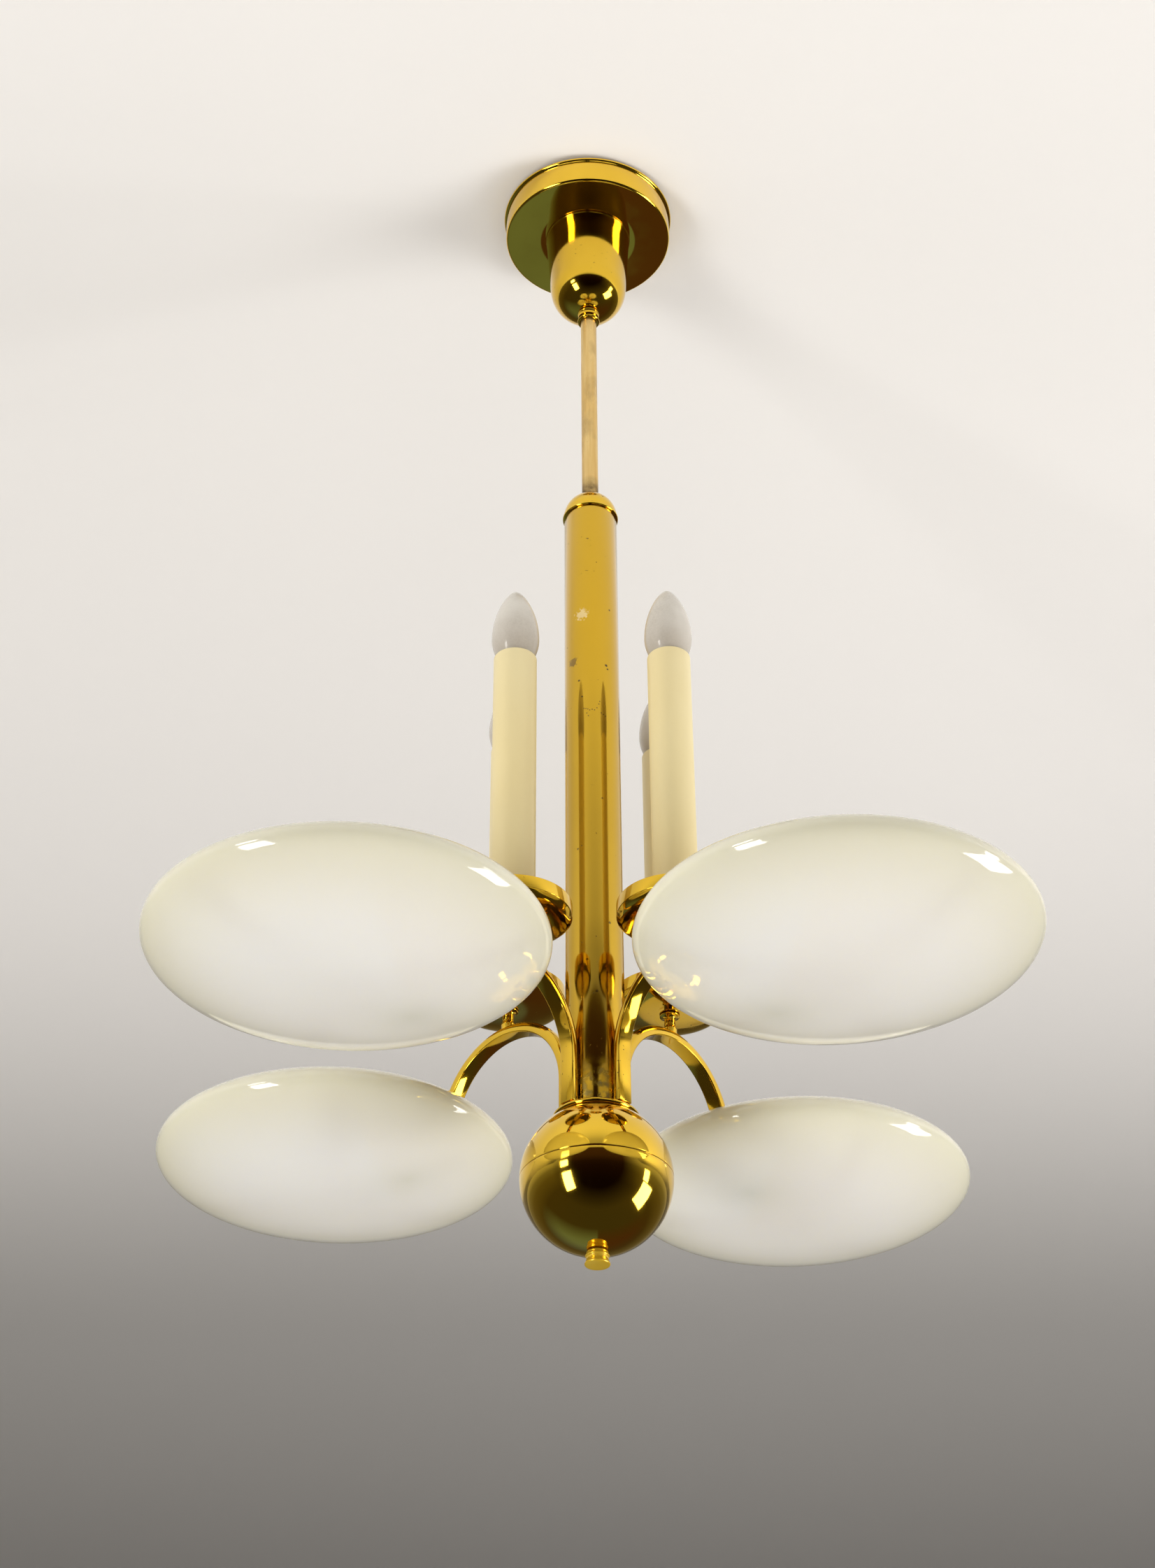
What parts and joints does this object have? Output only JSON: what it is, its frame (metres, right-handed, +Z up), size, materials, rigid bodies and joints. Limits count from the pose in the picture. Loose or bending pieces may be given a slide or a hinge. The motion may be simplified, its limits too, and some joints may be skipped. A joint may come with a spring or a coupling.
{
  "type": "multi arm chandelier",
  "caption": "Brass ceiling chandelier: a drum canopy and rod carry a tube and ball whose arched arms hold tall electric candles and wide opal glass bowls.",
  "frame": {"origin": "middle of the ceiling bracket's top face, on the ceiling", "axes": "+Z up along the rod; everything hangs below the origin; the usual view is from -Y, from below"},
  "size_m": [0.578, 0.5962, 0.9477],
  "materials": {
    "polished_brass": "polished, lightly aged, with small dark tarnish specks",
    "worn_brass": "rubbed pale, lacquer worn off",
    "zinc_steel": "zinc plated",
    "opal_glass": "glossy cream opal",
    "ivory_sleeve": "satin ivory, aged yellow",
    "frosted_glass": "frosted inside",
    "black_bakelite": "moulded, semi-gloss",
    "white_porcelain": "glazed"
  },
  "bodies": {
    "ceiling_fixing": {"ceiling_bracket": "zinc_steel", "ceiling_hook": "zinc_steel", "terminal_block": "white_porcelain"},
    "hanger": {"hanger_shackle": "zinc_steel", "shackle_bolt": "zinc_steel"},
    "frame": {"stem_rod": "worn_brass", "tube_cap": "polished_brass", "centre_tube": "polished_brass", "tie_rod": "zinc_steel", "arm_ring": "polished_brass", "ball_upper": "polished_brass", "ball_lower": "polished_brass", "hub_nut": "zinc_steel", "arm_1": "polished_brass", "candle_stem_1": "polished_brass", "drip_dish_1": "polished_brass", "candle_sleeve_1": "ivory_sleeve", "candle_holder_1": "black_bakelite", "arm_2": "polished_brass", "candle_stem_2": "polished_brass", "drip_dish_2": "polished_brass", "candle_sleeve_2": "ivory_sleeve", "candle_holder_2": "black_bakelite", "arm_3": "polished_brass", "candle_stem_3": "polished_brass", "drip_dish_3": "polished_brass", "candle_sleeve_3": "ivory_sleeve", "candle_holder_3": "black_bakelite", "arm_4": "polished_brass", "candle_stem_4": "polished_brass", "drip_dish_4": "polished_brass", "candle_sleeve_4": "ivory_sleeve", "candle_holder_4": "black_bakelite"},
    "canopy": {"canopy_drum": "polished_brass", "canopy_cup": "polished_brass", "cup_collar": "polished_brass", "collar_screw": "zinc_steel"},
    "finial": {"finial": "polished_brass"},
    "bowl_1": {"bowl_carrier_1": "polished_brass", "bowl_holder_1": "black_bakelite", "glass_bowl_1": "opal_glass"},
    "bowl_2": {"bowl_carrier_2": "polished_brass", "bowl_holder_2": "black_bakelite", "glass_bowl_2": "opal_glass"},
    "bowl_3": {"bowl_carrier_3": "polished_brass", "bowl_holder_3": "black_bakelite", "glass_bowl_3": "opal_glass"},
    "bowl_4": {"bowl_carrier_4": "polished_brass", "bowl_holder_4": "black_bakelite", "glass_bowl_4": "opal_glass"},
    "candle_bulb_1": {"candle_bulb_1": "frosted_glass"},
    "bowl_bulb_1": {"bowl_bulb_1": "frosted_glass"},
    "candle_bulb_2": {"candle_bulb_2": "frosted_glass"},
    "bowl_bulb_2": {"bowl_bulb_2": "frosted_glass"},
    "candle_bulb_3": {"candle_bulb_3": "frosted_glass"},
    "bowl_bulb_3": {"bowl_bulb_3": "frosted_glass"},
    "candle_bulb_4": {"candle_bulb_4": "frosted_glass"},
    "bowl_bulb_4": {"bowl_bulb_4": "frosted_glass"}
  },
  "joints": [
    {"name": "hanger_swing", "type": "hinge", "parent": "ceiling_fixing", "child": "hanger", "pos_m": [0, 0, -0.03], "axis": [1, 0, 0], "range_deg": [-2, 2]},
    {"name": "stem_swing", "type": "hinge", "parent": "hanger", "child": "frame", "pos_m": [0, 0, -0.062], "axis": [0, 1, 0], "range_deg": [-2, 2]},
    {"name": "canopy_slide", "type": "slide", "parent": "frame", "child": "canopy", "axis": [0, 0, -1], "range_m": [0, 0.15]},
    {"name": "finial_turn", "type": "hinge", "parent": "frame", "child": "finial", "pos_m": [0, 0, -0.9435], "axis": [0, 0, 1], "continuous": true},
    {"name": "bowl_swivel_1", "type": "hinge", "parent": "frame", "child": "bowl_1", "pos_m": [-0.09517, -0.09855, -0.81], "axis": [0, 0, 1], "range_deg": [-20, 18]},
    {"name": "bowl_swivel_2", "type": "hinge", "parent": "frame", "child": "bowl_2", "pos_m": [0.08897, -0.10418, -0.81], "axis": [0, 0, 1], "range_deg": [-15, 23]},
    {"name": "bowl_swivel_3", "type": "hinge", "parent": "frame", "child": "bowl_3", "pos_m": [0.09167, 0.10181, -0.81], "axis": [0, 0, 1], "range_deg": [-21.5, 16.5]},
    {"name": "bowl_swivel_4", "type": "hinge", "parent": "frame", "child": "bowl_4", "pos_m": [-0.09938, 0.0943, -0.81], "axis": [0, 0, 1], "range_deg": [-37, 1]},
    {"name": "candle_bulb_turn_1", "type": "hinge", "parent": "frame", "child": "candle_bulb_1", "pos_m": [-0.05615, -0.05814, -0.49], "axis": [0, 0, 1], "continuous": true},
    {"name": "bowl_bulb_turn_1", "type": "hinge", "parent": "bowl_1", "child": "bowl_bulb_1", "pos_m": [-0.15587, -0.16364, -0.77], "axis": [0, 0, 1], "continuous": true},
    {"name": "candle_bulb_turn_2", "type": "hinge", "parent": "frame", "child": "candle_bulb_2", "pos_m": [0.05249, -0.06146, -0.49], "axis": [0, 0, 1], "continuous": true},
    {"name": "bowl_bulb_turn_2", "type": "hinge", "parent": "bowl_2", "child": "bowl_bulb_2", "pos_m": [0.14191, -0.17572, -0.77], "axis": [0, 0, 1], "continuous": true},
    {"name": "candle_bulb_turn_3", "type": "hinge", "parent": "frame", "child": "candle_bulb_3", "pos_m": [0.05408, 0.06006, -0.49], "axis": [0, 0, 1], "continuous": true},
    {"name": "bowl_bulb_turn_3", "type": "hinge", "parent": "bowl_3", "child": "bowl_bulb_3", "pos_m": [0.14828, 0.17049, -0.77], "axis": [0, 0, 1], "continuous": true},
    {"name": "candle_bulb_turn_4", "type": "hinge", "parent": "frame", "child": "candle_bulb_4", "pos_m": [-0.05863, 0.05564, -0.49], "axis": [0, 0, 1], "continuous": true},
    {"name": "bowl_bulb_turn_4", "type": "hinge", "parent": "bowl_4", "child": "bowl_bulb_4", "pos_m": [-0.17971, 0.13262, -0.77], "axis": [0, 0, 1], "continuous": true}
  ]
}
